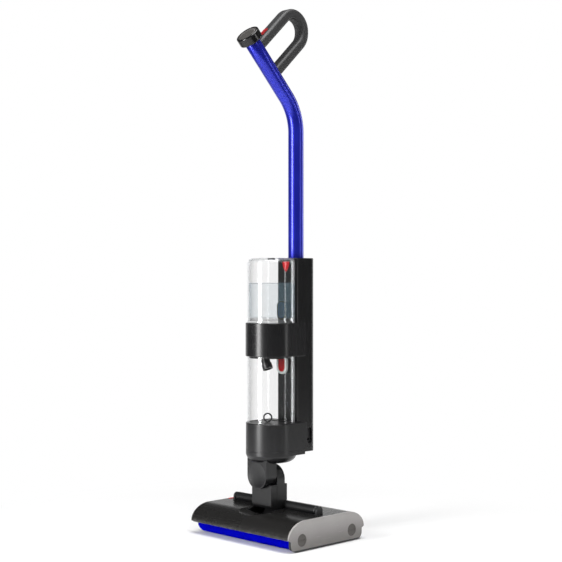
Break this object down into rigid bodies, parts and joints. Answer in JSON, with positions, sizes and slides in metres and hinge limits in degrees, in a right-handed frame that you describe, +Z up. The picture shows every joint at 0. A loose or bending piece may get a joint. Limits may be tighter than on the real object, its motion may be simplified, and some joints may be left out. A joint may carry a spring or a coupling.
{
  "type": "wet dry floor scrubber",
  "caption": "Upright cordless floor scrubber with counter-turning microfibre rollers in a low head, a two-axis neck, clear clean and dirty tanks, a bent blue tube and a loop handle.",
  "frame": {"origin": "on the floor under the middle of the head", "axes": "+Z up, +X to the right along the rollers, -Y towards the user, where the tanks and the display face"},
  "size_m": [0.3, 0.226, 1.1395],
  "materials": {
    "cover_black": "satin black moulding",
    "shell_charcoal": "satin charcoal moulding",
    "cap_grey": "satin warm grey moulding",
    "hub_taupe": "satin dark taupe moulding",
    "pile_blue": "short microfibre pile",
    "tube_blue": "satin metallic blue",
    "clear_tank": "clear polished plastic",
    "signal_red": "gloss red moulding",
    "grip_grey": "soft-touch grey",
    "seal_blue": "soft blue seal",
    "pale_frame": "pale grey moulding",
    "steel": "brushed",
    "motor_alloy": "satin",
    "bristle": "nylon bristles",
    "inner_grey": "plain moulding",
    "board_green": "circuit board",
    "display_dark": "smoked display window"
  },
  "bodies": {
    "floor_head": {"head_cover": "cover_black", "axle_cradle": "shell_charcoal", "pitch_pins": "steel", "head_chassis": "shell_charcoal", "head_screws": "steel", "right_end_cap": "cap_grey", "right_hub_caps": "hub_taupe", "front_roller_motor": "motor_alloy", "rear_roller_motor": "motor_alloy", "front_squeeze_bar": "steel", "rear_squeeze_bar": "steel", "front_spray_bar": "inner_grey", "rear_spray_bar": "inner_grey"},
    "front_roller": {"front_roller_core": "inner_grey", "front_roller_pile": "pile_blue"},
    "rear_roller": {"rear_roller_core": "inner_grey", "rear_roller_pile": "pile_blue"},
    "front_brush": {"front_pickup_brush": "bristle"},
    "rear_brush": {"rear_pickup_brush": "bristle"},
    "debris_drawer": {"debris_tray": "shell_charcoal", "debris_mesh": "inner_grey", "left_end_cap": "cap_grey", "left_hub_caps": "hub_taupe"},
    "drawer_latch": {"tray_latch": "signal_red"},
    "neck": {"neck_yoke": "shell_charcoal", "roll_pin": "steel"},
    "main_body": {"neck_cup": "shell_charcoal", "spine_front": "shell_charcoal", "spine_rear": "shell_charcoal", "charging_socket": "cover_black", "spine_cap": "shell_charcoal", "spine_screws": "steel", "battery_cells": "motor_alloy", "battery_case": "inner_grey", "clean_pump": "inner_grey", "dirty_pump": "inner_grey", "water_hoses": "inner_grey", "control_board": "board_green", "main_tube": "tube_blue", "tube_clamp": "inner_grey", "wire_harness": "grip_grey", "display_bezel": "cover_black", "display_lens": "display_dark", "display_board": "board_green", "handle_left": "grip_grey", "handle_right": "grip_grey"},
    "power_switch": {"power_button": "signal_red"},
    "clean_tank_catch": {"tank_release": "signal_red"},
    "clean_tank": {"clean_tank_shell": "clear_tank", "tank_fittings": "shell_charcoal", "clean_tank_base": "clear_tank", "filler_bung": "seal_blue"},
    "dirty_tank": {"dirty_tank_base": "shell_charcoal", "dirty_tank_shell": "clear_tank", "drain_ring": "shell_charcoal", "lid_button_frame": "pale_frame", "dirty_tank_lid": "shell_charcoal", "lid_plate": "shell_charcoal", "inlet_spout": "shell_charcoal"},
    "lid_catch": {"lid_button": "signal_red"}
  },
  "joints": [
    {"name": "neck_tip", "type": "hinge", "parent": "floor_head", "child": "neck", "pos_m": [0, 0, 0.07], "axis": [1, 0, 0], "range_deg": [0, 45]},
    {"name": "body_roll", "type": "hinge", "parent": "neck", "child": "main_body", "pos_m": [0, -0.02, 0.136], "axis": [0, 1, 0], "range_deg": [-35, 35]},
    {"name": "front_roller_spin", "type": "hinge", "parent": "floor_head", "child": "front_roller", "pos_m": [0, -0.075, 0.024], "axis": [1, 0, 0], "continuous": true},
    {"name": "rear_roller_spin", "type": "hinge", "parent": "floor_head", "child": "rear_roller", "pos_m": [0, 0.075, 0.024], "axis": [1, 0, 0], "continuous": true},
    {"name": "front_brush_spin", "type": "hinge", "parent": "floor_head", "child": "front_brush", "pos_m": [0, -0.044, 0.027], "axis": [1, 0, 0], "continuous": true},
    {"name": "rear_brush_spin", "type": "hinge", "parent": "floor_head", "child": "rear_brush", "pos_m": [0, 0.044, 0.027], "axis": [1, 0, 0], "continuous": true},
    {"name": "drawer_slide", "type": "slide", "parent": "floor_head", "child": "debris_drawer", "axis": [-1, 0, 0], "range_m": [0, 0.3]},
    {"name": "latch_press", "type": "slide", "parent": "debris_drawer", "child": "drawer_latch", "axis": [0, 0, -1], "range_m": [0, 0.0015], "stiffness_N_per_m": 600},
    {"name": "power_press", "type": "slide", "parent": "main_body", "child": "power_switch", "axis": [0, 0.6909, -0.723], "range_m": [0, 0.0015], "stiffness_N_per_m": 600},
    {"name": "release_press", "type": "slide", "parent": "main_body", "child": "clean_tank_catch", "axis": [0, 1, 0], "range_m": [0, 0.0015], "stiffness_N_per_m": 600},
    {"name": "clean_tank_pull", "type": "slide", "parent": "main_body", "child": "clean_tank", "axis": [0, -1, 0], "range_m": [0, 0.16]},
    {"name": "dirty_tank_pull", "type": "slide", "parent": "main_body", "child": "dirty_tank", "axis": [0, -1, 0], "range_m": [0, 0.16]},
    {"name": "lid_press", "type": "slide", "parent": "dirty_tank", "child": "lid_catch", "axis": [0, -1, 0], "range_m": [0, 0.0008], "stiffness_N_per_m": 600}
  ],
  "couplings": [
    {"joint": "rear_roller_spin", "follows": "front_roller_spin", "ratio": -1},
    {"joint": "front_brush_spin", "follows": "front_roller_spin", "ratio": -3},
    {"joint": "rear_brush_spin", "follows": "front_roller_spin", "ratio": 3}
  ]
}
